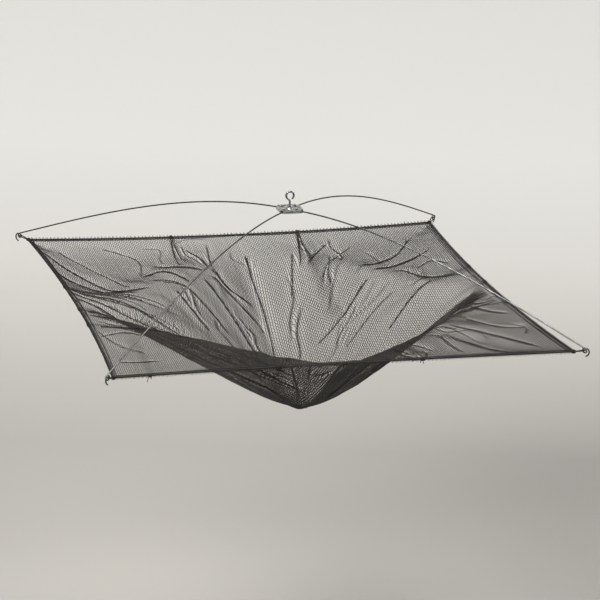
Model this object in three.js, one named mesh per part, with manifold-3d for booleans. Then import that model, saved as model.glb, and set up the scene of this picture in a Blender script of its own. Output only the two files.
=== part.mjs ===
// A square umbrella minnow net: four bowed spring-wire arms spread from a pressed steel hub,
// and each arm's curled end holds one corner of a fine black net that sags into a bag.
// Lengths are in millimetres and angles in degrees. +Z is up, +X right and +Y to the back.
// The origin is the centre of the hanging ring, because the whole net hangs from it.
import * as THREE from 'three'
import { mergeVertices } from 'three/addons/utils/BufferGeometryUtils.js'
import Module from 'manifold-3d'

const wasm = await Module()
wasm.setup()

// Driving dimensions
const netSide = 914 // between neighbouring corner knots
const ringToHinge = 29 // from the ring's centre down to the arms' hinges
const hingeToTip = 168 // from the hinges down to the arms' ends
const armOverhang = 23.7 // how far an arm's end reaches past its corner knot
const wireRadius = 1.5
const bagBelowTips = 260 // from the arms' ends down to the bag's lowest point
const bagDrift = 25 // the lowest point lies this far to the right of the axis
const gap = 0.3 // between pieces that rest on each other
const clearance = 0.4 // round a wire that turns

// Arms stand over the corners of the square
const armCount = 4
const firstArmAngle = 45
const quarterTurn = 90
const fullTurn = 360

// Hub: two pressed halves with their joint at the height of the hinges
const hubSide = 49
const hubCornerRadius = 9
const hingeInset = 7.5 // from the middle of a side of the hub in to an arm's hinge
const tailShare = 0.706 // of the hinge's radius, for the wire's bent end that is its pin
const bendRadius = 3
const channelFloor = 0.8 // metal left under a channel
const rimWidth = 4
const rimRise = 0.9
const bossRadius = 9
const windowWidth = 2.2 // narrower than the wire, so that the half holds the tail down
const bridge = 1 // metal left past the end of a tail's window

// Hanging eye, its tubular rivet and its washer
const eyeWireRadius = 2
const eyeRadius = 8 // of the ring's centreline
const eyeNeckRadius = 6
const eyeFreeEnd = -65
const eyeNeckAngle = 230
const eyeNeckSlope = 40
const rivetWall = 1
const rivetFlangeRadius = 6.5
const rivetFlange = 0.8
const washerRadius = 5.5
const washerThickness = 1
const headRadius = 3.6
const headHeight = 1.8

// Arms
const tipSlope = 21.2 // how steeply an arm points down at its end
const bowHandleShare = 1 / 3 // of the arm's span, for each handle of its curve
const curlRadius = 4.5
const curlShift = 3.4 // sideways, for each turn
const hookReach = 12.5 // from the curl's centre to the hook's free end
const hookTurn = 150

// Corner cords, knots and rim cords
const loopCordRadius = 1.25
const loopHalfWidth = 3.8
const loopEndHalfWidth = 1.7 // where both legs meet the knot
const knotRadius = 4.5
const rimBelowTips = 10.4
const rimCordRadius = 2
const rimPull = 18.6 // how far a rim cord bows inwards at its middle
const rimSag = 4 // how far it sags there

// Ties that gather the net on the rim cords, as shares of each side from its first corner
const tieCordRadius = 0.75
const tieKnotRadius = 1.8
const tieShares = {
  back: [0.342, 0.656],
  left: [0.366, 0.53, 0.644],
  front: [0.078, 0.357, 0.499, 0.667],
  right: [0.359, 0.481, 0.63],
}

// Net
const netThickness = 1
const tipRoundShare = 0.17 // of the mouth's distance, where the bag's lowest point is round
const wallPower = 1 // above 1 a wall of the bag bellies out, and below 1 it is hollow
const wallPowerLean = 0.17 // added to it towards the right and taken off towards the left
const creaseRoundShare = 0.13 // of the bag's depth, where the net turns over into the bag
const rimHoldPower = 8 // how close to the rim the net stays up
const openingsAcross = 10 // plain openings, which stand for the fine mesh
const ribWidth = 20 // of net between two openings, so that it hides as much as the mesh does
const foldDepth = 8
const foldsPerSide = 3
// How deep each fold hangs, as a share of foldDepth, once round the net from the back left corner
const foldShares = [0.7, 1, 0.6, 0.5, 1.3, 0.9, 0.6, 0.8, 0.7, 0.5, 1.2, 0.6]

// Steps and sides of the round forms
const wireSides = 8
const cordSides = 8
const roundSides = 32
const capSteps = 5
const eyeSteps = 22
const neckSteps = 4
const bendSteps = 5
const bowSteps = 18
const curlSteps = 14
const hookSteps = 7
const loopSteps = 10
const rimSteps = 24
const knotSides = [14, 10]
const tieSides = [6, 14]
const tieKnotSides = [8, 6]

const hingeHeight = -ringToHinge
const tipHeight = hingeHeight - hingeToTip
const rimHeight = tipHeight - rimBelowTips
const cornerRadius = netSide / Math.SQRT2
const armReach = cornerRadius + armOverhang
const hingeRadius = hubSide / 2 - hingeInset
const tailLength = hingeRadius * tailShare
const radians = THREE.MathUtils.degToRad

const zincPlate = new THREE.MeshStandardMaterial({ color: 0xc9ccca, roughness: 0.32, metalness: 1 })
const springWire = new THREE.MeshStandardMaterial({ color: 0x6d6f6b, roughness: 0.35, metalness: 1 })
const brightWire = new THREE.MeshStandardMaterial({ color: 0x9a9c98, roughness: 0.25, metalness: 1 })
const blackCord = new THREE.MeshStandardMaterial({ color: 0x1b1815, roughness: 0.8, metalness: 0 })
const blackNet = new THREE.MeshStandardMaterial({ color: 0x24211d, roughness: 0.85, metalness: 0 })

const part = new THREE.Group()

// Adds one piece to a group under its own name
function addPiece(group, name, geometry, material) {
  const mesh = new THREE.Mesh(geometry, material)
  mesh.name = name
  group.add(mesh)
  return mesh
}

// A path through given points, with one step of a swept tube from each point to the next
class Route extends THREE.Curve {
  constructor(points) {
    super()
    this.points = points
  }

  getPointAt(share, target = new THREE.Vector3()) {
    const at = share * (this.points.length - 1)
    const first = Math.min(Math.floor(at), this.points.length - 2)
    return target.lerpVectors(this.points[first], this.points[first + 1], at - first)
  }

  getPoint(share, target) {
    return this.getPointAt(share, target)
  }

  getTangentAt(share, target = new THREE.Vector3()) {
    const last = this.points.length - 1
    const at = Math.round(share * last)
    const before = this.points[Math.max(at - 1, 0)]
    const after = this.points[Math.min(at + 1, last)]
    return target.subVectors(after, before).normalize()
  }
}

// A solid round bar whose centreline goes through the points
function roundBar(points, radius, sides) {
  const section = []
  for (let side = 0; side < sides; side++) {
    const turn = (side / sides) * 2 * Math.PI
    section.push(new THREE.Vector2(radius * Math.cos(turn), radius * Math.sin(turn)))
  }
  return new THREE.ExtrudeGeometry(new THREE.Shape(section), {
    steps: points.length - 1,
    bevelEnabled: false,
    extrudePath: new Route(points),
  })
}

// Points of an arc in a plane, from one angle to another, as pairs
function arcPairs(centreA, centreB, radius, from, to, steps) {
  const pairs = []
  for (let step = 0; step <= steps; step++) {
    const angle = radians(from + ((to - from) * step) / steps)
    pairs.push([centreA + radius * Math.cos(angle), centreB + radius * Math.sin(angle)])
  }
  return pairs
}

// A closed three.js geometry as a solid that can be cut and joined
function solidFrom(geometry) {
  const bare = geometry.clone()
  bare.deleteAttribute('normal')
  bare.deleteAttribute('uv')
  const merged = mergeVertices(bare)
  return new wasm.Manifold(
    new wasm.Mesh({
      numProp: 3,
      vertProperties: new Float32Array(merged.attributes.position.array),
      triVerts: new Uint32Array(merged.index.array),
    }),
  )
}

// A cut or joined solid as a three.js geometry
function geometryFrom(solid) {
  const mesh = solid.getMesh()
  const geometry = new THREE.BufferGeometry()
  geometry.setAttribute('position', new THREE.BufferAttribute(mesh.vertProperties, 3))
  geometry.setIndex(new THREE.BufferAttribute(mesh.triVerts, 1))
  const flat = geometry.toNonIndexed()
  flat.computeVertexNormals()
  return flat
}

// A block between two corners
function block(low, high) {
  const size = high.map((value, axis) => value - low[axis])
  const middle = high.map((value, axis) => (value + low[axis]) / 2)
  return solidFrom(new THREE.BoxGeometry(...size).translate(...middle))
}

// A turned solid whose profile is a list of radius and height pairs
function turned(profile) {
  return new THREE.LatheGeometry(
    profile.map(([radius, height]) => new THREE.Vector2(radius, height)),
    roundSides,
  ).rotateX(radians(quarterTurn))
}

// A plate with a square outline and round corners, between two heights
function squarePlate(side, corner, low, high) {
  const half = side / 2
  const straight = half - corner
  const outline = new THREE.Shape()
  outline.absarc(straight, straight, corner, 0, radians(quarterTurn))
  outline.absarc(-straight, straight, corner, radians(quarterTurn), Math.PI)
  outline.absarc(-straight, -straight, corner, Math.PI, radians(-quarterTurn))
  outline.absarc(straight, -straight, corner, radians(-quarterTurn), 0)
  const plate = new THREE.ExtrudeGeometry(outline, {
    depth: high - low,
    bevelEnabled: false,
    curveSegments: capSteps,
  })
  return solidFrom(plate.translate(0, 0, low))
}

// The angle of each arm round the net's axis, starting at the back right
const armAngles = Array.from({ length: armCount }, (_, arm) => firstArmAngle + quarterTurn * arm)

// Hub halves. Each arm's bent inner end lies in a channel pressed half into either half, and
// a window and slot in the upper half leave the arm room to swing up.
const channelHalfWidth = wireRadius + clearance
const channelDepth = wireRadius + gap
const hubBottom = -(channelDepth + channelFloor)
const hubTop = channelDepth + channelFloor
const rimTop = hubTop + rimRise
const cutTop = 2 * rimTop // cuts run past the metal to this height
const hubReach = hubSide / Math.SQRT2
const rivetBoreRadius = eyeWireRadius + clearance
const rivetRadius = rivetBoreRadius + rivetWall

// Room for one arm's straight inner stretch and its bend, between two heights
function armRoom(low, high) {
  const slot = block(
    [hingeRadius - channelHalfWidth, -channelHalfWidth, low],
    [hubReach, channelHalfWidth, high],
  )
  const bend = block(
    [hingeRadius - channelHalfWidth, -(bendRadius + channelHalfWidth), low],
    [hingeRadius + bendRadius + channelHalfWidth, channelHalfWidth, high],
  )
  return slot.add(bend)
}

// Room for the tail that is the hinge pin
function tailRoom(halfWidth, past, low, high) {
  return block(
    [hingeRadius - halfWidth, -(tailLength + past), low],
    [hingeRadius + halfWidth, 0, high],
  )
}

function cutForArms(half, room) {
  return armAngles.reduce((left, angle) => left.subtract(room.rotate([0, 0, angle])), half)
}

const rivetHole = solidFrom(
  new THREE.CylinderGeometry(rivetRadius + gap, rivetRadius + gap, 2 * cutTop, roundSides)
    .rotateX(radians(quarterTurn)),
)

const hub = new THREE.Group()
hub.position.z = hingeHeight
part.add(hub)

const lowerRoom = armRoom(-channelDepth, hubTop).add(
  tailRoom(channelHalfWidth, clearance, -channelDepth, hubTop),
)
const lowerHalf = cutForArms(
  squarePlate(hubSide, hubCornerRadius, hubBottom, -gap / 2).subtract(rivetHole),
  lowerRoom,
)
addPiece(hub, 'hub_lower_half', geometryFrom(lowerHalf), zincPlate)

const upperRoom = armRoom(-channelDepth, cutTop)
  .add(tailRoom(channelHalfWidth, clearance, -channelDepth, channelDepth))
  .add(tailRoom(windowWidth / 2, -bridge, -channelDepth, cutTop))
const raisedRim = squarePlate(hubSide, hubCornerRadius, hubTop / 2, rimTop).subtract(
  squarePlate(hubSide - 2 * rimWidth, hubCornerRadius - rimWidth, 0, cutTop),
)
const boss = solidFrom(
  new THREE.CylinderGeometry(bossRadius, bossRadius + rimRise, rimTop - hubTop / 2, roundSides)
    .rotateX(radians(quarterTurn))
    .translate(0, 0, (rimTop + hubTop / 2) / 2),
)
const upperHalf = cutForArms(
  squarePlate(hubSide, hubCornerRadius, gap / 2, hubTop)
    .add(raisedRim)
    .add(boss)
    .subtract(rivetHole),
  upperRoom,
)
addPiece(hub, 'hub_upper_half', geometryFrom(upperHalf), zincPlate)

// Tubular rivet that clamps both halves, with the eye's shank free to turn in its bore
const rivetTop = rimTop + gap + rivetFlange
const rivetBottom = hubBottom - gap - rivetFlange
addPiece(
  hub,
  'hub_rivet',
  turned([
    [rivetBoreRadius, rivetBottom],
    [rivetFlangeRadius, rivetBottom],
    [rivetFlangeRadius, rivetBottom + rivetFlange],
    [rivetRadius, rivetBottom + rivetFlange],
    [rivetRadius, rivetTop - rivetFlange],
    [rivetFlangeRadius, rivetTop - rivetFlange],
    [rivetFlangeRadius, rivetTop],
    [rivetBoreRadius, rivetTop],
    [rivetBoreRadius, rivetBottom],
  ]),
  zincPlate,
)

// Washer under the rivet, and the headed end of the shank that carries it
const washerTop = rivetBottom - gap
const washerBottom = washerTop - washerThickness
addPiece(
  hub,
  'swivel_washer',
  turned([
    [rivetBoreRadius, washerBottom],
    [washerRadius, washerBottom],
    [washerRadius, washerTop],
    [rivetBoreRadius, washerTop],
    [rivetBoreRadius, washerBottom],
  ]),
  zincPlate,
)

// Hanging eye: a wire ring that closes against its own neck, and the shank down to its head
const headTop = hingeHeight + washerBottom - gap
const headBottom = headTop - headHeight

function hangingEye() {
  const ring = arcPairs(0, 0, eyeRadius, eyeFreeEnd, eyeNeckAngle, eyeSteps)
  const leave = ring[ring.length - 1]
  const neckDrop = eyeNeckRadius * Math.cos(radians(eyeNeckSlope))
  const neckSide = eyeNeckRadius * (1 - Math.sin(radians(eyeNeckSlope)))
  const straightSide = -leave[0] - neckSide
  const neckTop = leave[1] - straightSide * Math.tan(radians(eyeNeckSlope))
  const neck = arcPairs(
    -eyeNeckRadius,
    neckTop - neckDrop,
    eyeNeckRadius,
    quarterTurn - eyeNeckSlope,
    0,
    neckSteps,
  )
  const shank = [[0, headTop]]
  const points = [...ring, ...neck, ...shank].map(([x, z]) => new THREE.Vector3(x, 0, z))
  const wire = solidFrom(roundBar(points, eyeWireRadius, wireSides))
  const head = solidFrom(
    turned([
      [0, headBottom],
      [headRadius / 2, headBottom],
      [headRadius, headBottom + headHeight / 2],
      [headRadius, headTop],
      [eyeWireRadius / 2, headTop],
      [eyeWireRadius / 2, headTop + headHeight],
      [0, headTop + headHeight],
    ]),
  )
  return geometryFrom(wire.add(head))
}
addPiece(part, 'hanging_eye', hangingEye(), brightWire)

// Arms. In its own frame an arm runs along +X, and its tail turns off towards -Y.
const curlCentre = new THREE.Vector3(
  armReach - curlRadius * Math.sin(radians(tipSlope)),
  0,
  tipHeight - curlRadius * Math.cos(radians(tipSlope)),
)

function armPoints() {
  const points = [new THREE.Vector3(hingeRadius, -tailLength, hingeHeight)]
  for (const [x, y] of arcPairs(
    hingeRadius + bendRadius,
    -bendRadius,
    bendRadius,
    2 * quarterTurn,
    quarterTurn,
    bendSteps,
  )) {
    points.push(new THREE.Vector3(x, y, hingeHeight))
  }
  const start = points[points.length - 1]
  const end = new THREE.Vector3(armReach, 0, tipHeight)
  const handle = (end.x - start.x) * bowHandleShare
  const bow = new THREE.CubicBezierCurve3(
    start,
    new THREE.Vector3(start.x + handle, 0, hingeHeight),
    new THREE.Vector3(end.x - handle, 0, tipHeight + handle * Math.tan(radians(tipSlope))),
    end,
  )
  points.push(...bow.getPoints(bowSteps).slice(1))
  // One full turn that holds the corner cord, then a wider hook with a free end
  const startAngle = quarterTurn - tipSlope
  for (let step = 1; step <= curlSteps; step++) {
    const turns = step / curlSteps
    points.push(curlPoint(startAngle - fullTurn * turns, curlRadius, turns))
  }
  for (let step = 1; step <= hookSteps; step++) {
    const share = step / hookSteps
    const reach = curlRadius + (hookReach - curlRadius) * share
    points.push(curlPoint(startAngle - hookTurn * share, reach, 1))
  }
  return points
}

function curlPoint(angle, radius, turns) {
  const turn = radians(angle)
  return new THREE.Vector3(
    curlCentre.x + radius * Math.cos(turn),
    curlShift * turns,
    curlCentre.z + radius * Math.sin(turn),
  )
}

// Corner knots, where two rim cords meet the loop that hangs in an arm's curl
const knotCentre = new THREE.Vector3(cornerRadius, 0, rimHeight)
const towardsKnot = knotCentre.clone().sub(curlCentre)
const towardsKnotLength = towardsKnot.length()
const loopLength = towardsKnotLength - Math.hypot(knotRadius, loopEndHalfWidth) - gap
towardsKnot.normalize()
const loopTilt =
  fullTurn / 2 + tipSlope + THREE.MathUtils.radToDeg(Math.atan2(-towardsKnot.z, -towardsKnot.x))
const loopShift = (curlShift * loopTilt) / fullTurn

// One corner cord: up one leg from the knot, round through the curl and back down the other
function loopPoints() {
  const leg = [
    [loopLength, loopEndHalfWidth],
    [loopLength - knotRadius, loopEndHalfWidth + clearance],
    [loopLength / 2, (loopEndHalfWidth + loopHalfWidth) / 2],
  ]
  const turn = arcPairs(loopHalfWidth, 0, loopHalfWidth, quarterTurn, 3 * quarterTurn, loopSteps)
  const back = leg.map(([along, side]) => [along, -side]).reverse()
  return [...leg, ...turn, ...back].map(([along, side]) => {
    const shift = loopShift * (1 - along / towardsKnotLength)
    const point = curlCentre.clone().addScaledVector(towardsKnot, along)
    return point.add(new THREE.Vector3(0, side + shift, 0))
  })
}
armAngles.forEach((angle, arm) => {
  const spoke = new THREE.Group()
  spoke.rotation.z = radians(angle)
  part.add(spoke)
  const number = arm + 1
  addPiece(spoke, `arm_${number}`, roundBar(armPoints(), wireRadius, wireSides), springWire)
  addPiece(
    spoke,
    `corner_cord_${number}`,
    roundBar(loopPoints(), loopCordRadius, cordSides),
    blackCord,
  )
  const knot = new THREE.SphereGeometry(knotRadius, ...knotSides)
  addPiece(spoke, `corner_knot_${number}`, knot.translate(...knotCentre.toArray()), blackCord)
})

// The four sides of the rim, each from its first corner to its second
const cornerAt = (angle) =>
  new THREE.Vector3(cornerRadius, 0, rimHeight).applyAxisAngle(
    new THREE.Vector3(0, 0, 1),
    radians(angle),
  )
const [backRight, backLeft, frontLeft, frontRight] = armAngles
const sides = {
  back: [cornerAt(backLeft), cornerAt(backRight)],
  right: [cornerAt(backRight), cornerAt(frontRight)],
  front: [cornerAt(frontLeft), cornerAt(frontRight)],
  left: [cornerAt(backLeft), cornerAt(frontLeft)],
}

// A point of a rim cord's centreline
function rimPoint(side, share) {
  const [from, to] = sides[side]
  const point = from.clone().lerp(to, share)
  const inwards = from.clone().add(to).setZ(0).normalize().negate()
  const bow = 4 * share * (1 - share)
  return point.addScaledVector(inwards, rimPull * bow).setZ(rimHeight - rimSag * bow)
}

function rimDirection(side, share) {
  const step = knotRadius / netSide
  return rimPoint(side, share + step).sub(rimPoint(side, share - step)).normalize()
}

const rimEndShare = (knotRadius + gap) / netSide
for (const side of Object.keys(sides)) {
  const points = []
  for (let step = 0; step <= rimSteps; step++) {
    points.push(rimPoint(side, rimEndShare + ((1 - 2 * rimEndShare) * step) / rimSteps))
  }
  addPiece(part, `rim_cord_${side}`, roundBar(points, rimCordRadius, cordSides), blackCord)
}

// Ties: a turn of twine round the rim cord, with its knot on the outside
const tieRadius = rimCordRadius + gap + tieCordRadius
const tieReach = tieRadius + tieCordRadius

function tieGeometry(side, share) {
  const ring = solidFrom(new THREE.TorusGeometry(tieRadius, tieCordRadius, ...tieSides))
  const knot = solidFrom(
    new THREE.SphereGeometry(tieKnotRadius, ...tieKnotSides).translate(
      0,
      -tieRadius - tieKnotRadius / 2,
      0,
    ),
  )
  const along = rimDirection(side, share)
  const up = new THREE.Vector3(0, 0, 1)
  const inwards = up.clone().cross(along).normalize()
  const [from, to] = sides[side]
  if (inwards.dot(from.clone().add(to)) > 0) inwards.negate()
  const across = inwards.clone().cross(along)
  const frame = new THREE.Matrix4().makeBasis(across, inwards, along)
  frame.setPosition(rimPoint(side, share))
  return geometryFrom(ring.add(knot)).applyMatrix4(frame)
}
for (const [side, shares] of Object.entries(tieShares)) {
  shares.forEach((share, tie) => {
    addPiece(part, `tie_${side}_${tie + 1}`, tieGeometry(side, share), blackCord)
  })
}

// Net. It is a square grid that is drawn down to the bag's lowest point, with folds that run from
// there to the rim.
const netEdge = tieReach + gap // from a rim cord's centreline to the net's edge
const bagPoint = new THREE.Vector3(bagDrift, 0, tipHeight - bagBelowTips)
const perimeter = ['back', 'right', 'front', 'left']
const backwards = { front: true, left: true }

// The net's edge lies inside the rim cord by netEdge, and inside both cords at a corner
function edgePoint(side, share) {
  const [from, to] = sides[side]
  const point = rimPoint(side, share)
  const inwards = from.clone().add(to).setZ(0).normalize().negate()
  const along = to.clone().sub(from).normalize()
  const shift = netEdge * (1 - 2 * share)
  return point.addScaledVector(inwards, netEdge).addScaledVector(along, shift)
}

function foldAt(round) {
  const folds = armCount * foldsPerSide
  const at = round * folds
  const near = Math.round(at) % folds
  return foldShares[near] * (0.5 + 0.5 * Math.cos(2 * Math.PI * at))
}

// How far up the net is from the bag's lowest point (0) to the rim (1). The bag opens inside a
// diamond between the middles of the sides, and the four corners outside it stay nearly flat.
function riseShare(reach, corner, power) {
  const mouthShare = reach * (1 + corner)
  const cone = Math.hypot(mouthShare, tipRoundShare) - tipRoundShare
  const fullCone = Math.hypot(1, tipRoundShare) - tipRoundShare
  const softened = (depth) => (depth + Math.hypot(depth, creaseRoundShare)) / 2
  const depth = softened(1 - Math.pow(cone / fullCone, power)) / softened(1)
  return 1 - depth * (1 - Math.pow(reach, rimHoldPower))
}

function netPoint(sideNumber, shareRound, reach) {
  const side = perimeter[sideNumber]
  const share = backwards[side] ? 1 - shareRound : shareRound
  const edge = edgePoint(side, share)
  const power = wallPower + (wallPowerLean * edge.x) / (netSide / 2)
  const rise = riseShare(reach, Math.abs(2 * share - 1), power)
  const fold = foldAt((sideNumber + shareRound) / armCount) * reach * (1 - reach) * 4
  const point = bagPoint.clone().lerp(edge, reach)
  point.z = bagPoint.z + (edge.z - bagPoint.z) * rise - foldDepth * fold
  return point
}

// A point of the net by its place on the flat square, from -1 to 1 each way
function netPointAt(right, back) {
  const reach = Math.max(Math.abs(right), Math.abs(back))
  const rightShare = (1 + right / reach) / 2
  const frontShare = (1 - back / reach) / 2
  if (Math.abs(back) >= Math.abs(right)) {
    return back > 0 ? netPoint(0, rightShare, reach) : netPoint(2, 1 - rightShare, reach)
  }
  return right > 0 ? netPoint(1, frontShare, reach) : netPoint(3, 1 - frontShare, reach)
}

// Both edges of each rib across the flat square, from -1 to 1
function ribEdges() {
  const half = ribWidth / netSide
  const edges = [-1, 2 * half - 1]
  for (let rib = 1; rib < openingsAcross; rib++) {
    const middle = (2 * rib) / openingsAcross - 1
    edges.push(middle - half, middle + half)
  }
  return [...edges, 1 - 2 * half, 1]
}

function netGeometry() {
  const edges = ribEdges()
  const cells = edges.length - 1
  const top = edges.flatMap((right) => edges.map((back) => netPointAt(right, back)))
  const positions = []
  for (const layer of [netThickness / 2, -netThickness / 2]) {
    for (const point of top) positions.push(point.x, point.y, point.z + layer)
  }
  const faces = []
  const bothLayers = (a, b, c) => {
    faces.push(a, b, c, top.length + a, top.length + c, top.length + b)
  }
  const wall = (from, to) => {
    faces.push(to, from, top.length + to, from, top.length + from, top.length + to)
  }
  // Ribs are the even rows and columns of cells, and openings lie between them
  const isNet = (column, row) =>
    Math.min(column, row) >= 0 &&
    Math.max(column, row) < cells &&
    (column % 2 === 0 || row % 2 === 0)
  for (let column = 0; column < cells; column++) {
    for (let row = 0; row < cells; row++) {
      if (!isNet(column, row)) continue
      const a = column * edges.length + row
      const b = a + edges.length
      const c = b + 1
      const d = a + 1
      // Each cell is split along the line that runs out from the middle
      if (column < cells / 2 === row < cells / 2) {
        bothLayers(a, b, c)
        bothLayers(a, c, d)
      } else {
        bothLayers(a, b, d)
        bothLayers(b, c, d)
      }
      if (!isNet(column, row - 1)) wall(a, b)
      if (!isNet(column + 1, row)) wall(b, c)
      if (!isNet(column, row + 1)) wall(c, d)
      if (!isNet(column - 1, row)) wall(d, a)
    }
  }
  const geometry = new THREE.BufferGeometry()
  geometry.setAttribute('position', new THREE.Float32BufferAttribute(positions, 3))
  geometry.setIndex(faces)
  const flat = geometry.toNonIndexed()
  flat.computeVertexNormals()
  return flat
}
addPiece(part, 'net', netGeometry(), blackNet)

export default part
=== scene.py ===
"""Umbrella minnow net: the looks of its wire frame, hub, cords and netting, round the CAD frame."""
import math

import bmesh
import bpy
import numpy as np
from mathutils import Matrix, Vector


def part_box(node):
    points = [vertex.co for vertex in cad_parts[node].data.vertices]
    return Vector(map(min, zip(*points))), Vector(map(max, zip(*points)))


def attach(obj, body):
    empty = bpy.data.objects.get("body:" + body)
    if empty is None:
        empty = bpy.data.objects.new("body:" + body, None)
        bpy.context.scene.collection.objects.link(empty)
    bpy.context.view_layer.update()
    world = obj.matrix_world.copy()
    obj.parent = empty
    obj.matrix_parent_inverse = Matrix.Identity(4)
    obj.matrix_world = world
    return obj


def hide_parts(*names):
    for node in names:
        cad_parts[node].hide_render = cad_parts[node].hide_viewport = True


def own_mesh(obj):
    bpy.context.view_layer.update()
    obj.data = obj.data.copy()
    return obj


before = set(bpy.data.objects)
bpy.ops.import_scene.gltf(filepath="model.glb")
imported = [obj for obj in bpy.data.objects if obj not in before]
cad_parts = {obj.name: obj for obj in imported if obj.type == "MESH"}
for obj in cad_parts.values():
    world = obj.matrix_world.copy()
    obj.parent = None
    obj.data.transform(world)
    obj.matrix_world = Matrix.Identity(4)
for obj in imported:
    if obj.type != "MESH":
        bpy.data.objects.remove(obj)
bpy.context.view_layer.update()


# Camera
# The camera looks down on the net from the front left, from 5.6 m with a long lens, and is
# rolled a little, as in the photograph.
def placed(name, data):
    """A new object in the scene, at the origin"""
    made = bpy.data.objects.new(name, data)
    bpy.context.collection.objects.link(made)
    return made


camera = placed("camera", bpy.data.cameras.new("camera"))
bpy.context.scene.camera = camera
camera.data.sensor_width = 36
camera.data.lens = 163.44
camera.data.shift_y = -0.0017
camera_place = (-1.4429, -5.1493, 1.4821)
camera_turn, camera_tilt, camera_roll = (math.radians(a) for a in (-15.953, 17.658, 2.077))
level_ahead = Vector((-math.sin(camera_turn), math.cos(camera_turn), 0))
level_right = level_ahead.cross(Vector((0, 0, 1)))
look = level_ahead * math.cos(camera_tilt) - Vector((0, 0, math.sin(camera_tilt)))
upright = level_right.cross(look)
across = level_right * math.cos(camera_roll) + upright * math.sin(camera_roll)
above = upright * math.cos(camera_roll) - level_right * math.sin(camera_roll)
turned = Matrix((across, above, -look)).transposed()
camera.matrix_world = Matrix.Translation(camera_place) @ turned.to_4x4()


# Backdrop and light
# A pale floor sweeps up into a pale wall behind the hanging net, with painted shade that darkens
# it down the view and towards the lower right. A strong soft lamp stands at the front left,
# weaker ones at the right and above, and the world fills the shadows.
def link(name, points, faces):
    """A smooth mesh object at the origin from points in metres"""
    mesh = bpy.data.meshes.new(name)
    mesh.from_pydata([tuple(p) for p in points], [], [tuple(f) for f in faces])
    mesh.validate()
    mesh.polygons.foreach_set("use_smooth", [True] * len(mesh.polygons))
    return placed(name, mesh)


def new_material(name):
    """A material, its node tree and its Principled shader"""
    material = bpy.data.materials.new(name)
    material.use_nodes = True
    tree = material.node_tree
    return material, tree, tree.nodes["Principled BSDF"]


def add_node(tree, kind, *feeds, **values):
    """A node: its inputs in their order, then its properties and other inputs by name"""
    node = tree.nodes.new(kind)
    for key, value in values.items():
        if key not in node.inputs:
            setattr(node, key, value)
    named = [(key, value) for key, value in values.items() if key in node.inputs]
    for key, value in [*enumerate(feeds), *named]:
        if isinstance(value, bpy.types.NodeSocket):
            tree.links.new(value, node.inputs[key])
        else:
            node.inputs[key].default_value = value
    return node


def maths(tree, operation, *feeds):
    """The result of a Math node"""
    return add_node(tree, "ShaderNodeMath", *feeds, operation=operation).outputs[0]


def mapped(tree, value, *ends, **values):
    """The result of a Map Range node; ends are From Min, From Max, To Min and To Max"""
    return add_node(tree, "ShaderNodeMapRange", value, *ends, **values).outputs["Result"]


def noise(tree, place, scale, detail, roughness=0.5):
    """The result of a Noise Texture node"""
    return add_node(
        tree, "ShaderNodeTexNoise", Vector=place, Scale=scale, Detail=detail, Roughness=roughness
    ).outputs["Fac"]


def blended(tree, share, first, second):
    """A colour that goes from the first to the second"""
    return add_node(
        tree, "ShaderNodeMix", data_type="RGBA", Factor=share, A=first, B=second
    ).outputs["Result"]


def arc(centre, radius, start, stop, steps):
    """Pairs along an arc, in degrees"""
    turns = np.radians(np.linspace(start, stop, steps + 1))
    return np.stack([centre[0] + radius * np.cos(turns), centre[1] + radius * np.sin(turns)], 1)


floor_height, floor_front = -1.15, -9.0
wall_place, wall_top = 2.4, 5.0
backdrop_half_width = 8.0
sweep_radius = 1.3
tone_top, tone_bottom = -0.26, -0.38  # slopes of the view between which the painted shade deepens
dim_left, dim_right = -0.04, 0.16  # slopes across, between which painted shade darkens the floor more
dim_most = 0.20
sweep = arc((wall_place - sweep_radius, floor_height + sweep_radius), sweep_radius, -90, 0, 24)
backdrop_profile = [(floor_front, floor_height), *sweep, (wall_place, wall_top)]
backdrop = link(
    "backdrop",
    [(x, y, z) for y, z in backdrop_profile for x in (-backdrop_half_width, backdrop_half_width)],
    [(2 * i, 2 * i + 1, 2 * i + 3, 2 * i + 2) for i in range(len(backdrop_profile) - 1)],
)
backdrop_material, tree, shader = new_material("pale_backdrop")
shader.inputs["Roughness"].default_value = 0.9
shader.inputs["Specular IOR Level"].default_value = 0.1
place = add_node(tree, "ShaderNodeTexCoord").outputs["Object"]
from_eye = add_node(tree, "ShaderNodeVectorMath", place, camera_place, operation="SUBTRACT").outputs[0]
ahead, beside = (
    add_node(tree, "ShaderNodeVectorMath", from_eye, way, operation="DOT_PRODUCT").outputs["Value"]
    for way in (level_ahead, level_right)
)
height = add_node(tree, "ShaderNodeSeparateXYZ", from_eye).outputs["Z"]
# Painted shade: the backdrop's colour darkens down the view, from the wall to the floor's front
down = mapped(tree, maths(tree, "DIVIDE", height, ahead), tone_top, tone_bottom)
shade = add_node(tree, "ShaderNodeValToRGB", down)
painted_shade_tones = [
    (0.0, (0.710, 0.690, 0.645)),
    (0.35, (0.632, 0.609, 0.560)),
    (0.58, (0.545, 0.521, 0.476)),
    (0.75, (0.470, 0.453, 0.409)),
    (1.0, (0.396, 0.378, 0.345)),
]
while len(shade.color_ramp.elements) < len(painted_shade_tones):
    shade.color_ramp.elements.new(0.5)
for stop, (at, tone) in zip(shade.color_ramp.elements, painted_shade_tones):
    stop.position = at
    stop.color = (*tone, 1)
# Painted shade: it darkens a little more towards the lower right
aside = maths(tree, "DIVIDE", beside, ahead)
right = mapped(tree, aside, dim_left, dim_right, interpolation_type="SMOOTHSTEP")
lower_right = maths(tree, "MULTIPLY", maths(tree, "POWER", down, 4.0), right)
painted_shade_share = maths(tree, "MULTIPLY", lower_right, dim_most)
painted_shade_colour = blended(tree, painted_shade_share, shade.outputs["Color"], (0.0, 0.0, 0.0, 1))
tree.links.new(painted_shade_colour, shader.inputs["Base Color"])
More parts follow.
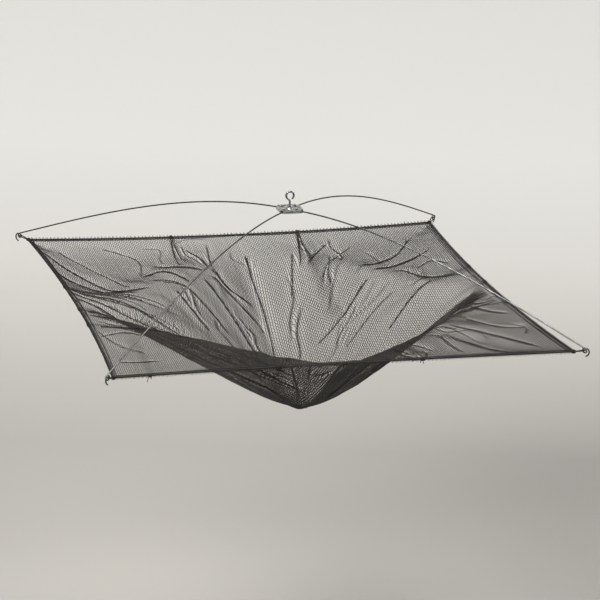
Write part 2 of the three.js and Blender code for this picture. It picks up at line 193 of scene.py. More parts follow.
# From behind, the wall lets the view through
behind = add_node(tree, "ShaderNodeNewGeometry").outputs["Backfacing"]
clear = add_node(tree, "ShaderNodeBsdfTransparent").outputs[0]
either = add_node(tree, "ShaderNodeMixShader", behind, shader.outputs[0], clear)
tree.links.new(either.outputs[0], tree.nodes["Material Output"].inputs["Surface"])
backdrop.data.materials.append(backdrop_material)


net_middle = Vector((0, 0, -0.2))


def soft_lamp(name, place, size, power):
    """A square lamp that faces the net"""
    lamp = placed(name, bpy.data.lights.new(name, "AREA"))
    lamp.data.size = size
    lamp.data.energy = power
    lamp.location = place
    lamp.rotation_mode = "QUATERNION"
    lamp.rotation_quaternion = (net_middle - Vector(place)).to_track_quat("-Z", "Y")
    return lamp


soft_lamp("key_lamp", (-2.4, -2.8, 3.4), size=1.5, power=175)
soft_lamp("side_lamp", (3.6, -1.2, 2.2), size=1.6, power=65)
top_lamp = soft_lamp("top_lamp", (0.1, -0.2, 2.8), size=1.1, power=8)
top_lamp.data.spread = math.radians(50)
world = bpy.context.scene.world or bpy.data.worlds.new("world")
bpy.context.scene.world = world
world.use_nodes = True
sky = world.node_tree.nodes["Background"]
sky.inputs["Color"].default_value = (0.92, 0.95, 1.0, 1)
sky.inputs["Strength"].default_value = 0.75
bpy.context.scene.view_settings.view_transform = "Standard"


# Hub
# Two halves pressed from steel plate hold the arms' bent ends between them, and a tubular
# rivet clamps them. Their zinc is bright, with dull clouds and a fine grain.
FLOAT, COLOUR = "NodeSocketFloat", "NodeSocketColor"


def new_group(name, **inputs):
    """A shader node group with named inputs, and the outputs Color, Roughness and Height"""
    group = bpy.data.node_groups.new(name, "ShaderNodeTree")
    for label, value in inputs.items():
        kind = COLOUR if isinstance(value, tuple) else FLOAT
        group.interface.new_socket(label, in_out="INPUT", socket_type=kind).default_value = value
    for label, kind in (("Color", COLOUR), ("Roughness", FLOAT), ("Height", FLOAT)):
        group.interface.new_socket(label, in_out="OUTPUT", socket_type=kind)
    place = add_node(group, "ShaderNodeTexCoord").outputs["Object"]
    return group, place, group.nodes.new("NodeGroupInput").outputs


zinc_bloom, place, given = new_group(
    "zinc_bloom", Bright=(0.7, 0.7, 0.7, 1), Dull=(0.4, 0.4, 0.4, 1),
    Clouds=120.0, Grains=900.0, Smooth=0.2, Rough=0.45,
)
cloud = noise(zinc_bloom, place, given["Clouds"], detail=3.0, roughness=0.6)
grain = noise(zinc_bloom, place, given["Grains"], detail=2.0)
both = maths(zinc_bloom, "MULTIPLY_ADD", grain, 0.35, mapped(zinc_bloom, cloud, 0.35, 0.65))
tint = blended(zinc_bloom, both, given["Bright"], given["Dull"])
satin = mapped(zinc_bloom, both, 0.0, 1.0, given["Smooth"], given["Rough"])
add_node(zinc_bloom, "NodeGroupOutput", tint, satin, grain)


def grouped_material(name, group, bump, depth, **values):
    """A material with its colour, roughness and fine relief from one node group"""
    material, tree, shader = new_material(name)
    effect = add_node(tree, "ShaderNodeGroup", node_tree=group, **values).outputs
    dent = add_node(tree, "ShaderNodeBump", Strength=bump, Distance=depth, Height=effect["Height"])
    tree.links.new(effect["Color"], shader.inputs["Base Color"])
    tree.links.new(effect["Roughness"], shader.inputs["Roughness"])
    tree.links.new(dent.outputs["Normal"], shader.inputs["Normal"])
    return material, shader


def zinc_material(name, bump, **values):
    """Bare zinc-coated steel with its own tone and grain"""
    material, shader = grouped_material(name, zinc_bloom, bump, depth=0.0002, **values)
    shader.inputs["Metallic"].default_value = 1.0
    return material


plate_zinc = zinc_material(
    "plate_zinc", bump=0.25, Bright=(0.66, 0.67, 0.66, 1), Dull=(0.20, 0.205, 0.205, 1),
    Clouds=170, Grains=1400, Smooth=0.10, Rough=0.32,
)


def pressed_copy(node, edge, body):
    """A CAD plate with its edges rounded as a press leaves them"""
    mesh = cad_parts[node].data.copy()
    mesh.materials.clear()
    made = placed(node + "_pressed", mesh)
    merged = bmesh.new()
    merged.from_mesh(mesh)
    bmesh.ops.remove_doubles(merged, verts=merged.verts, dist=1e-6)
    bmesh.ops.dissolve_limit(
        merged, angle_limit=math.radians(1), verts=merged.verts, edges=merged.edges
    )
    merged.to_mesh(mesh)
    merged.free()
    round_edge = made.modifiers.new("round_edge", "BEVEL")
    round_edge.width = edge
    round_edge.segments = 2
    round_edge.limit_method = "ANGLE"
    round_edge.angle_limit = math.radians(35)
    mesh.polygons.foreach_set("use_smooth", [True] * len(mesh.polygons))
    mesh.materials.append(plate_zinc)
    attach(made, body)
    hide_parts(node)


pressed_copy("hub_upper_half", edge=0.00035, body="hub")
pressed_copy("hub_lower_half", edge=0.0004, body="hub")
pressed_copy("hub_rivet", edge=0.0003, body="hub")
pressed_copy("swivel_washer", edge=0.0002, body="eye")


# Hanging eye
# One piece of 4 mm wire: a ring bent until its end almost meets the neck, then a shank that
# goes down through the rivet to a headed end. Bright drawn zinc, and it turns in the rivet.
hinge_height = -0.029


def directions(line):
    """Directions along a line, and two square to it that turn as little as they can"""
    ahead = np.gradient(line, axis=0)
    ahead /= np.linalg.norm(ahead, axis=1)[:, None]
    side = np.zeros_like(line)
    guess = np.cross(ahead[0], (0.0, 0.0, 1.0))
    if np.linalg.norm(guess) < 1e-3:
        guess = np.cross(ahead[0], (0.0, 1.0, 0.0))
    side[0] = guess / np.linalg.norm(guess)
    for i in range(1, len(line)):
        kept = side[i - 1] - ahead[i] * side[i - 1].dot(ahead[i])
        side[i] = kept / np.linalg.norm(kept)
    return ahead, side, np.cross(ahead, side)


def skin(name, rings):
    """A round piece over rings of points, with a flat face at each end"""
    count, sides = rings.shape[:2]
    faces = []
    for i in range(count - 1):
        for j in range(sides):
            k = (j + 1) % sides
            faces.append((i * sides + j, i * sides + k, (i + 1) * sides + k, (i + 1) * sides + j))
    faces.append(tuple(range(sides))[::-1])
    faces.append(tuple((count - 1) * sides + j for j in range(sides)))
    return link(name, rings.reshape(-1, 3), faces)


def tube(name, points, radius, sides):
    """A smooth round bar along points, its ends turned in as on a cut wire without its burr"""
    line = np.asarray(points, float)
    ahead = directions(line)[0]
    first, last = (
        [end + way * radius * 0.3 * (1 - math.sqrt(1 - s * s)) for s in (0.15, 0.55)]
        for end, way in ((line[0], ahead[0]), (line[-1], -ahead[-1]))
    )
    line = np.vstack([first, line[1:-1], last[::-1]])
    radii = np.full(len(line), radius)
    radii[[0, -1]] *= 0.4
    radii[[1, -2]] *= 0.85
    _, side, other = directions(line)
    turns = (np.arange(sides) * 2 * math.pi / sides)[None, :, None]
    ring = np.cos(turns) * side[:, None] + np.sin(turns) * other[:, None]
    return skin(name, line[:, None] + ring * radii[:, None, None])


eye_wire_radius = 0.002
eye_ring_radius = 0.008
neck_radius = 0.006
neck_gap = 0.002  # between the neck's last point and the shank's first
head_thickness = 0.0018
eye_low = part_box("hanging_eye")[0]
eye_ring = arc((0, 0), eye_ring_radius, -65, 230, 60)
neck_slope = math.radians(40)
neck_side = neck_radius * (1 - math.sin(neck_slope))
neck_top = eye_ring[-1][1] - (-eye_ring[-1][0] - neck_side) * math.tan(neck_slope)
neck = arc((-neck_radius, neck_top - neck_radius * math.cos(neck_slope)), neck_radius, 50, 0, 12)
head_top = eye_low.z + head_thickness
shank = np.stack([np.zeros(12), np.linspace(neck[-1][1] - neck_gap, head_top, 12)], 1)
eye_route = np.vstack([eye_ring, neck, shank])
bright_zinc = zinc_material(
    "bright_zinc_wire", bump=0.2, Bright=(0.30, 0.305, 0.30, 1), Dull=(0.11, 0.115, 0.115, 1),
    Clouds=260, Grains=2200, Smooth=0.10, Rough=0.26,
)
eye_wire = tube("hanging_eye_wire", [(x, 0, z) for x, z in eye_route], eye_wire_radius, 20)
eye_head_profile = [
    (0.0, 0.0), (0.0018, 0.0), (0.0031, 0.0004), (0.0036, 0.0010), (0.0036, 0.0016),
    (0.0034, head_thickness), (0.0, head_thickness),
]
head_sides = 32
head_turns = [2 * math.pi * j / head_sides for j in range(head_sides)]
head_rings = [
    [(r * math.cos(turn), r * math.sin(turn), eye_low.z + h) for turn in head_turns]
    for r, h in eye_head_profile
]
eye_head = skin("hanging_eye_head", np.array(head_rings))
for piece in (eye_wire, eye_head):
    clean = bmesh.new()
    clean.from_mesh(piece.data)
    bmesh.ops.remove_doubles(clean, verts=clean.verts, dist=1e-7)
    bmesh.ops.recalc_face_normals(clean, faces=clean.faces)
    clean.to_mesh(piece.data)
    clean.free()
    piece.data.materials.append(bright_zinc)
    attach(piece, "eye")
    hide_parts("hanging_eye")


# Arms
# Four 3 mm spring wires, drawn and dull zinc-coated. The inner end is bent square as the hinge
# pin, the wire bows down to the corner, and its end is curled once and left as an open hook.
arm_wire_radius = 0.0015
net_side = 0.914  # between the corner knots
corner_radius = net_side / math.sqrt(2)
arm_overhang = 0.0237  # how far the bow's end lies beyond the corner knot
arm_drop = 0.168
arm_reach = corner_radius + arm_overhang
tip_height = hinge_height - arm_drop
tip_degrees = 21.2
tip_slope = math.radians(tip_degrees)
curl_radius = 0.0045
curl_shift = 0.0034
hook_opening = 0.008
pin_place = 0.017
pin_start, pin_stop = -0.0119, -0.0035
bend_radius = 0.003
curl_x = arm_reach - curl_radius * math.sin(tip_slope)
curl_z = tip_height - curl_radius * math.cos(tip_slope)
curl_centre = np.array([curl_x, 0, curl_z])
arm_tail = [(pin_place, y, hinge_height) for y in np.linspace(pin_start, pin_stop, 5)]
bend_centre = (pin_place + bend_radius, -bend_radius)
arm_bend = [(x, y, hinge_height) for x, y in arc(bend_centre, bend_radius, 180, 90, 8)]
bow_start = np.array([pin_place + bend_radius, 0, hinge_height])
bow_end = np.array([arm_reach, 0, tip_height])
handle = (bow_end[0] - bow_start[0]) / 3
bow_out = bow_start + (handle, 0, 0)
bow_in = bow_end + (-handle, 0, handle * math.tan(tip_slope))
bow = [
    bow_start * (1 - t) ** 3
    + bow_out * 3 * t * (1 - t) ** 2
    + bow_in * 3 * t * t * (1 - t)
    + bow_end * t**3
    for t in np.linspace(0, 1, 70)[1:]
]
spring_zinc = zinc_material(
    "spring_wire_zinc", bump=0.2, Bright=(0.155, 0.155, 0.15, 1), Dull=(0.07, 0.07, 0.068, 1),
    Clouds=90, Grains=1800, Smooth=0.12, Rough=0.26,
)


def curl_point(turned, reach, shift):
    """A point round the curl, by the degrees that the wire has turned since the bow's end"""
    angle = math.radians(90 - tip_degrees - turned)
    return curl_centre + (reach * math.cos(angle), shift, reach * math.sin(angle))


curl = [curl_point(360 * t, curl_radius, curl_shift * t) for t in np.linspace(0, 1, 49)[1:]]
hook = [
    curl_point(150 * t, curl_radius + hook_opening * t, curl_shift)
    for t in np.linspace(0, 1, 25)[1:]
]
arm_route = np.array(arm_tail + arm_bend + bow + curl + hook)


def turned_to(points, angle):
    """Points of an arm's own frame, turned round the net's axis to its corner"""
    c, s = math.cos(angle), math.sin(angle)
    x, y, z = np.moveaxis(np.asarray(points, float), -1, 0)
    return np.stack([x * c - y * s, x * s + y * c, z], -1)


corners = {1: "back_right", 2: "back_left", 3: "front_left", 4: "front_right"}
corner_angles = {arm: math.radians(90 * arm - 45) for arm in corners}
for arm, corner in corners.items():
    wire = tube(f"arm_wire_{corner}", turned_to(arm_route, corner_angles[arm]), arm_wire_radius, 14)
    wire.data.materials.append(spring_zinc)
    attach(wire, f"arm_{corner}")
    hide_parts(f"arm_{arm}")


# Corner cords and knots
# A loop of thin twisted nylon goes through each arm's curl, and its two ends meet in the knot
# that ties off the two rim cords. It swings on the curl when the arms fold.
nylon_fibre, place, given = new_group(
    "nylon_fibre", Dark=(0.012, 0.010, 0.008, 1), Light=(0.05, 0.042, 0.034, 1), Patches=60.0
)
patch = noise(nylon_fibre, place, given["Patches"], detail=3.0, roughness=0.55)
fuzz = noise(nylon_fibre, place, scale=2600.0, detail=1.0)
faded = mapped(nylon_fibre, patch, 0.38, 0.68)
tint = blended(nylon_fibre, faded, given["Dark"], given["Light"])
matt = mapped(nylon_fibre, fuzz, 0.0, 1.0, 0.5, 0.75)
add_node(nylon_fibre, "NodeGroupOutput", tint, matt, fuzz)


def nylon_material(name, bump, **values):
    """Black nylon, a little brown where light has faded it"""
    material, shader = grouped_material(name, nylon_fibre, bump, depth=0.0001, **values)
    shader.inputs["Specular IOR Level"].default_value = 0.28
    return material


cord_nylon = nylon_material(
    "cord_nylon", bump=0.4, Dark=(0.008, 0.006, 0.005, 1), Light=(0.024, 0.019, 0.015, 1),
    Patches=70,
)


def run_along(line):
    """Distance along a line at each of its points"""
    return np.concatenate([[0], np.cumsum(np.linalg.norm(np.diff(line, axis=0), axis=1))])


def twisted(name, points, radius, lay, step=0.16):
    """A cord of three twisted strands along points; lay is the length of one turn"""
    strands, sides = 3, 12
    line = np.asarray(points, float)
    run = run_along(line)
    at = np.linspace(0, run[-1], max(4, int(run[-1] / (lay * step))) + 1)
    line = np.stack([np.interp(at, run, line[:, k]) for k in range(3)], 1)
    _, side, other = directions(line)
    turns = np.arange(sides) * 2 * math.pi / sides
    lobes = radius * (0.80 + 0.20 * np.abs(np.cos(strands * turns / 2)))
    spun = turns[None] + (2 * math.pi * at / lay)[:, None]
    ring = np.cos(spun)[..., None] * side[:, None] + np.sin(spun)[..., None] * other[:, None]
    return skin(name, line[:, None] + ring * lobes[None, :, None])


knot_drop = 0.0104
loop_bend = 0.0038
rim_height = tip_height - knot_drop
knot_centre = np.array([corner_radius, 0, rim_height])
towards_knot = knot_centre - curl_centre
knot_distance = np.linalg.norm(towards_knot)
towards_knot /= knot_distance
loop_tilt = 180 + tip_degrees + math.degrees(math.atan2(-towards_knot[2], -towards_knot[0]))
loop_shift = curl_shift * loop_tilt / 360
loop_legs = [
    (knot_distance - 0.002, 0.0012),
    (knot_distance - 0.0045, 0.0017),
    (knot_distance - 0.009, 0.0023),
    (knot_distance * 0.45, 0.0030),
    (knot_distance * 0.27, 0.0036),
]
loop_turn = arc((loop_bend, 0), loop_bend, 90, 270, 16)
loop_pairs = [*loop_legs, *loop_turn, *((along, -out) for along, out in loop_legs[::-1])]
loop_route = [
    curl_centre + towards_knot * along + (0, out + loop_shift * (1 - along / knot_distance), 0)
    for along, out in loop_pairs
]


def smoothed(points, rounds=2):
    """A route with its corners cut, and its two ends kept"""
    line = np.asarray(points, float)
    for _ in range(rounds):
        near = line[:-1] * 0.75 + line[1:] * 0.25
        far = line[:-1] * 0.25 + line[1:] * 0.75
        line = np.vstack([line[:1], np.stack([near, far], 1).reshape(-1, 3), line[-1:]])
    return line


def knot_route(centre, axis, turns, coil, reach, phase):
    """A few turns of cord wound round an axis through centre"""
    axis = np.asarray(axis, float) / np.linalg.norm(axis)
    first = np.cross(axis, (0.3, 0.2, 1.0))
    first /= np.linalg.norm(first)
    second = np.cross(axis, first)
    t = np.linspace(0, 1, int(turns * 18))
    angle = 2 * math.pi * turns * t + phase
    return (
        centre
        + axis * ((t - 0.5) * reach)[:, None]
        + first * (coil * np.cos(angle))[:, None]
        + second * (coil * np.sin(angle))[:, None]
    )


def joined(name, pieces):
    """Several mesh objects as one"""
    points, faces, count = [], [], 0
    for piece in pieces:
        mesh = piece.data
        points += [v.co[:] for v in mesh.vertices]
        faces += [tuple(count + i for i in p.vertices) for p in mesh.polygons]
        count += len(mesh.vertices)
        bpy.data.objects.remove(piece)
    return link(name, points, faces)


loop_cord_radius = 0.00125
wrap_radius, wrap_lay = 0.0012, 0.0055
hitch_radius, hitch_lay = 0.0018, 0.008
for arm, corner in corners.items():
    angle = corner_angles[arm]
    loop_line = smoothed(turned_to(loop_route, angle))
    loop = twisted(f"corner_loop_{corner}", loop_line, loop_cord_radius, wrap_lay)
    # The knot: a hitch of rim cord, wrapped by turns of the loop's thin cord
    centre = turned_to(knot_centre, angle)
    along = turned_to(towards_knot, angle)
    level_side = turned_to((0.0, 1.0, 0.0), angle)
    wrap = knot_route(centre, along, turns=3.2, coil=0.0029, reach=0.0062, phase=0.4 * arm)
    hitch = knot_route(centre, level_side, turns=1.7, coil=0.0024, reach=0.0052, phase=1.1 * arm)
    wraps = [
        twisted("wrap", wrap, wrap_radius, wrap_lay),
        twisted("hitch", hitch, hitch_radius, hitch_lay),
    ]
    knot = joined(f"corner_knot_{corner}", wraps)
    for piece, node in ((loop, f"corner_cord_{arm}"), (knot, f"corner_knot_{arm}")):
        piece.data.materials.append(cord_nylon)
        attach(piece, f"corner_{corner}")
        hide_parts(node)


# Rim cords
# Four 4 mm twisted nylon cords run through the net's selvage from knot to knot, pulled taut by
# the arms. Each is made in two halves, so that each half can follow its own corner.
half_side = net_side / 2
rim_cord_radius, rim_cord_lay = 0.002, 0.0095
rim_pull = 0.0186
rim_sag = 0.004
side_facts = {
    "back": ((0, 1), (1, 0), (2, 1)),
    "right": ((1, 0), (0, -1), (1, 4)),
    "front": ((0, -1), (1, 0), (3, 4)),
    "left": ((-1, 0), (0, -1), (2, 3)),
}


def rim_points(side, share, inset=0.0):
    """Points of a rim cord's centreline, by share of the side from its first corner"""
    out, run, _ = side_facts[side]
    share = np.asarray(share, float)
    bow_share = 4 * share * (1 - share)
    away = half_side - rim_pull * bow_share - inset
    along = (2 * share - 1) * half_side
    x = out[0] * away + run[0] * along
    y = out[1] * away + run[1] * along
    return np.stack([x, y, rim_height - rim_sag * bow_share], -1)


def fold_with_corner(piece, arm, node):
    """The piece follows its corner, and gets a mesh of its own"""
    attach(piece, f"corner_{corners[arm]}")
    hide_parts(node)
    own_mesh(piece)


end_share = 0.0035 / net_side
for side, (_, _, ends) in side_facts.items():
    for half, arm in enumerate(ends):
        shares = np.linspace(end_share, 0.5, 40) if half == 0 else np.linspace(0.5, 1 - end_share, 40)
        line = rim_points(side, shares)
        cord = twisted(f"rim_cord_{side}_{half + 1}", line, rim_cord_radius, rim_cord_lay, step=0.2)
        cord.data.materials.append(cord_nylon)
        fold_with_corner(cord, arm, f"rim_cord_{side}")


# Net
# A square of knotless black nylon netting with a mesh of about 4 mm. Its slack is gathered in
# at the ties, and it hangs from the rim cords in a bag, with creases that run to its point.
tie_shares = {
    "back": [0.342, 0.656],
    "left": [0.366, 0.53, 0.644],
    "front": [0.078, 0.357, 0.499, 0.667],
    "right": [0.359, 0.481, 0.63],
}
net_cut = 0.975  # side of the square of netting when it lies flat
bag_point = np.array([0.025, 0.0, -0.457])
bag_round = 0.21  # roundness of the bag's point, as a share of its width
turn_over = 0.13  # how softly the netting turns over into the bag, as a share of its depth
hem_inset = 0.0041
rim_hold = 8  # power with which the rim cords hold the netting up beside them
fuller_right = 0.17  # how much fuller the bag hangs at the right
bag_top, flat_rise = -0.27, 0.05  # above the bag's top the netting flattens out
first_crossings = 31  # strands each way in the coarse net that settles first
zigzag = 0.24  # how far each chain leans to and fro, in meshes
gather_width = 0.007  # cord that a tie covers
ease = 0.985  # cord between two ties against the netting on it
# Each crease: how strongly the netting is drawn in to it, and its line in plan, in metres
creases = [
    (1.0, [(-0.44, 0.39), (-0.39, 0.26), (-0.31, 0.16), (-0.25, 0.18)]),
    (1.2, [(-0.44, 0.32), (-0.43, 0.23), (-0.36, 0.16), (-0.28, 0.15)]),
    (1.1, [(-0.44, 0.12), (-0.36, 0.09), (-0.27, 0.07), (-0.17, 0.05)]),
    (0.7, [(-0.44, 0.10), (-0.36, 0.04), (-0.26, 0.04), (-0.19, 0.05)]),
    (0.9, [(-0.43, 0.05), (-0.36, 0.01), (-0.25, 0.03)]),
    (0.6, [(-0.43, 0.13), (-0.32, 0.12), (-0.27, 0.11)]),
    (0.5, [(-0.41, 0.43), (-0.34, 0.28), (-0.29, 0.18)]),
    (0.5, [(-0.31, 0.42), (-0.24, 0.36), (-0.25, 0.25)]),
    (0.9, [(-0.25, 0.25), (-0.20, 0.28), (-0.15, 0.24)]),
    (0.9, [(-0.21, 0.32), (-0.16, 0.31), (-0.10, 0.30)]),
    (0.8, [(-0.24, 0.22), (-0.17, 0.22), (-0.13, 0.19), (-0.08, 0.13)]),
    (0.9, [(-0.19, 0.19), (-0.17, 0.16), (-0.13, 0.11)]),
    (0.7, [(-0.12, 0.40), (-0.10, 0.36), (-0.09, 0.32)]),
    (1.0, [(-0.08, 0.32), (-0.06, 0.28), (0.00, 0.26)]),
    (1.2, [(-0.11, 0.27), (-0.07, 0.21), (-0.04, 0.15), (-0.02, 0.11)]),
    (0.8, [(-0.09, 0.29), (-0.04, 0.25), (0.02, 0.20)]),
    (1.1, [(0.01, 0.39), (0.01, 0.35), (0.02, 0.25), (0.02, 0.13)]),
    (0.5, [(-0.07, 0.42), (-0.08, 0.32)]),
    (0.6, [(0.11, 0.36), (0.08, 0.24)]),
    (0.6, [(0.13, 0.30), (0.16, 0.35), (0.20, 0.40)]),
    (0.4, [(0.14, 0.23), (0.16, 0.27), (0.25, 0.38)]),
    (0.9, [(0.22, 0.25), (0.30, 0.28), (0.40, 0.41)]),
    (0.9, [(0.25, 0.22), (0.32, 0.25), (0.41, 0.31)]),
    (0.9, [(0.29, 0.20), (0.31, 0.21), (0.35, 0.15), (0.42, 0.11)]),
    (0.6, [(0.35, 0.21), (0.39, 0.24), (0.42, 0.19)]),
    (0.7, [(0.11, 0.13), (0.18, 0.16), (0.24, 0.20)]),
    (0.6, [(0.24, 0.06), (0.30, 0.09), (0.35, 0.11)]),
    (0.4, [(0.16, 0.09), (0.23, 0.12), (0.28, 0.13)]),
    (0.6, [(0.37, 0.00), (0.39, -0.10), (0.42, -0.09)]),
    (0.6, [(0.32, -0.15), (0.34, -0.22), (0.38, -0.27), (0.43, -0.28)]),
    (0.8, [(0.28, -0.23), (0.32, -0.28), (0.35, -0.32), (0.41, -0.41)]),
    (0.8, [(0.24, -0.29), (0.24, -0.35), (0.25, -0.40)]),
    (0.7, [(0.25, -0.28), (0.28, -0.35), (0.31, -0.40), (0.35, -0.44)]),
    (0.6, [(0.36, -0.11), (0.39, -0.16), (0.42, -0.19)]),
    (0.5, [(-0.43, -0.20), (-0.37, -0.17), (-0.33, -0.20)]),
    (0.5, [(-0.43, -0.36), (-0.39, -0.36), (-0.34, -0.36)]),
    (0.4, [(-0.43, -0.16), (-0.40, -0.26), (-0.36, -0.31)]),
    (1.3, [(-0.43, -0.03), (-0.30, -0.04), (-0.15, -0.06), (0.00, -0.10)]),
    (1.3, [(-0.43, -0.06), (-0.25, -0.09), (-0.08, -0.13)]),
    (1.3, [(-0.43, -0.13), (-0.28, -0.14), (-0.10, -0.17), (0.02, -0.20)]),
    (1.0, [(-0.36, -0.16), (-0.20, -0.20), (-0.05, -0.24)]),
    (1.3, [(0.43, 0.00), (0.30, -0.05), (0.15, -0.12)]),
    (1.3, [(0.43, -0.03), (0.28, -0.10), (0.13, -0.17)]),
    (1.0, [(0.42, -0.10), (0.25, -0.17), (0.12, -0.22)]),
    (1.3, [(0.43, -0.015), (0.29, -0.075), (0.14, -0.145)]),
    (1.2, [(0.43, 0.012), (0.33, -0.03), (0.20, -0.08)]),
    (1.2, [(0.42, -0.05), (0.27, -0.125), (0.13, -0.19)]),
    (0.8, [(-0.13, -0.42), (-0.05, -0.25), (0.00, -0.12)]),
    (0.8, [(0.00, -0.42), (0.01, -0.25), (0.02, -0.10)]),
    (0.8, [(0.15, -0.42), (0.10, -0.25), (0.05, -0.10)]),
    (0.6, [(0.08, -0.40), (0.07, -0.20)]),
    (0.6, [(-0.06, -0.40), (-0.02, -0.25)]),
    (0.8, [(-0.144, 0.44), (-0.15, 0.38), (-0.152, 0.31)]),
    (0.6, [(-0.142, 0.44), (-0.14, 0.38), (-0.135, 0.34)]),
    (0.8, [(0.143, 0.44), (0.13, 0.37), (0.115, 0.30)]),
    (0.6, [(0.145, 0.44), (0.145, 0.39), (0.15, 0.33)]),
    (1.4, [(0.153, -0.44), (0.13, -0.40), (0.12, -0.34)]),
    (1.2, [(0.155, -0.44), (0.17, -0.41), (0.18, -0.38)]),
]
crease_steps = 60
crease_reach = 0.011  # how far to each side the netting is drawn in
crease_squeeze = 0.95  # share of the way that it is drawn in, and the most of it
crease_fade = 12  # steps over which a crease fades out at each end
crease_start = 0.02  # distance from the cords in which the creases deepen
crease_margin = 0.05  # netting farther from a crease than this stays as it is
crease_depth = 0.0036
crease_width = 0.0042
swell_height = 0.0002
corner_sags = {"back": 0.026, "front": 0.004}
sag_start, sag_span = 0.85, 0.3  # way out from the bag's point: a side's middle is 1, a corner 2
sag_clear = 0.15  # distance from the net's left-right axis in which the sag fades in
sag_reach = 0.05  # distance from the cords in which most of the sag is reached
settle_rounds = (200, 100, 60)
settle_play = 0.002
settle_drift = 0.9  # share of a round's move that goes on in the next
settle_pull = 0.5  # share of the way back to the hanging shape
streak_height = 0.0012
streak_clear = 0.16  # distance from the bag's point in which the streaks fade in
streak_start = 0.03  # the same from the cords
mesh_unevenness = 0.00012
scattered_number = 60


def scattered_creases(random):
    """Short faint creases all round the bag, and bands of crumples at its left and right"""
    made = []
    for _ in range(scattered_number):
        turn, sway = random.uniform(0, 2 * math.pi), random.normal(0, 0.12)
        far = random.uniform(0.20, 0.50)
        outs = np.linspace(far, far - random.uniform(0.05, 0.16), 4)
        turns = turn + sway * np.linspace(0, 1, 4) + random.normal(0, 0.03, 4)
        points = bag_point[:2] + np.stack([outs * np.cos(turns), outs * np.sin(turns)], 1)
        made.append((random.uniform(0.3, 0.8), np.clip(points, -0.43, 0.43)))
    # The two ends of each band of crumples, in plan, as corners of the box they start or stop in
    bands = [
        (9, [(-0.43, -0.13), (-0.36, -0.03)], [(-0.18, -0.24), (0.02, -0.12)]),
        (4, [(-0.30, -0.20), (-0.15, -0.14)], [(-0.05, -0.26), (0.06, -0.16)]),
        (12, [(0.34, -0.08), (0.43, 0.0)], [(0.10, -0.22), (0.24, -0.12)]),
        (5, [(-0.43, 0.05), (-0.40, 0.16)], [(-0.20, 0.0), (-0.10, 0.12)]),
    ]
    for number, begin, end in bands:
        for _ in range(number):
            first, last = random.uniform(*begin), random.uniform(*end)
            points = first + (last - first) * np.linspace(0, 1, 4)[:, None]
            points[1:-1] += random.normal(0, 0.010, (2, 2))
            made.append((random.uniform(0.5, 1.0), points))
    return made


def net_rise(reach, corner, power):
    """How far up the net hangs, from the bag's lowest point (0) to the rim (1)"""
    cone = np.hypot(reach * (1 + corner), bag_round) - bag_round
    full = math.hypot(1, bag_round) - bag_round
    depth = 1 - (cone / full) ** power
    softened = (depth + np.hypot(depth, turn_over)) / 2
    level_depth = (1 + math.hypot(1, turn_over)) / 2
    return 1 - softened / level_depth * (1 - reach**rim_hold)


def rim_gap(x, y):
    """How far inside the rim cords each point is"""
    gaps = []
    for out, run, _ in side_facts.values():
        share = np.clip((x * run[0] + y * run[1]) / (2 * half_side) + 0.5, 0, 1)
        gaps.append(half_side - rim_pull * 4 * share * (1 - share) - (x * out[0] + y * out[1]))
    return np.minimum.reduce(gaps)


def hang_height(x, y):
    """Height of the hanging net's general shape over each point"""
    dx, dy = x - bag_point[0], y - bag_point[1]
    nearest = np.full(x.shape, np.inf)
    height = np.full(x.shape, bag_point[2])
    limit = half_side - 0.66 * rim_pull
    for side, (out, run, _) in side_facts.items():
        outward = dx * out[0] + dy * out[1]
        distance = limit - (bag_point[0] * out[0] + bag_point[1] * out[1])
        times = np.where(outward > 1e-9, distance / np.maximum(outward, 1e-9), np.inf)
        capped = np.minimum(times, 1e3)
        edge_x, edge_y = bag_point[0] + dx * capped, bag_point[1] + dy * capped
        share = np.clip((edge_x * run[0] + edge_y * run[1]) / (2 * half_side) + 0.5, 0, 1)
        edge = rim_points(side, share, inset=hem_inset)
        span = np.hypot(edge[..., 0] - bag_point[0], edge[..., 1] - bag_point[1])
        reach = np.clip(np.hypot(dx, dy) / np.maximum(span, 1e-6), 0, 1)
        power = 1 + fuller_right * edge[..., 0] / half_side
        rise = net_rise(reach, np.abs(2 * share - 1), power)
        found = bag_point[2] + (edge[..., 2] - bag_point[2]) * rise
        # The slack net drops quickly from the cords in the four corners
        outside = np.clip((reach * (1 + np.abs(2 * share - 1)) - sag_start) / sag_span, 0, 1)
        sag = np.where(y > 0, corner_sags["back"], corner_sags["front"])
        sag = sag * np.clip(np.abs(y) / sag_clear, 0, 1) * outside
        found = found - sag * (1 - np.exp(-np.maximum(rim_gap(x, y), 0) / sag_reach))
        closer = times < nearest
        height = np.where(closer, found, height)
        nearest = np.where(closer, times, nearest)
    return height


def gathered_shares(side, count):
    """Where each mesh of a side's edge sits on its cord: the slack goes into the ties"""
    length = 2 * half_side
    ties = tie_shares[side]
    slack = (net_cut - (length - len(ties) * gather_width) / ease) / len(ties)
    cut_at, cord_at = [0.0], [0.0]
    for tie in ties:
        before, after = tie - gather_width / length / 2, tie + gather_width / length / 2
        reached = cut_at[-1] + (before - cord_at[-1]) * length / ease / net_cut
        cut_at += [reached, reached + slack / net_cut]
        cord_at += [before, after]
    return np.interp(np.linspace(0, 1, count), cut_at + [1.0], cord_at + [1.0])


def on_rim(inner):
    """A grid whose four edges lie on the rim cords; rows run right, columns to the back"""
    count = len(inner) + 2
    grid = np.zeros((count, count, 3))
    grid[1:-1, 1:-1] = inner
    grid[:, -1] = rim_points("back", gathered_shares("back", count))
    grid[:, 0] = rim_points("front", gathered_shares("front", count))
    grid[-1, :] = rim_points("right", gathered_shares("right", count))[::-1]
    grid[0, :] = rim_points("left", gathered_shares("left", count))[::-1]
    return grid


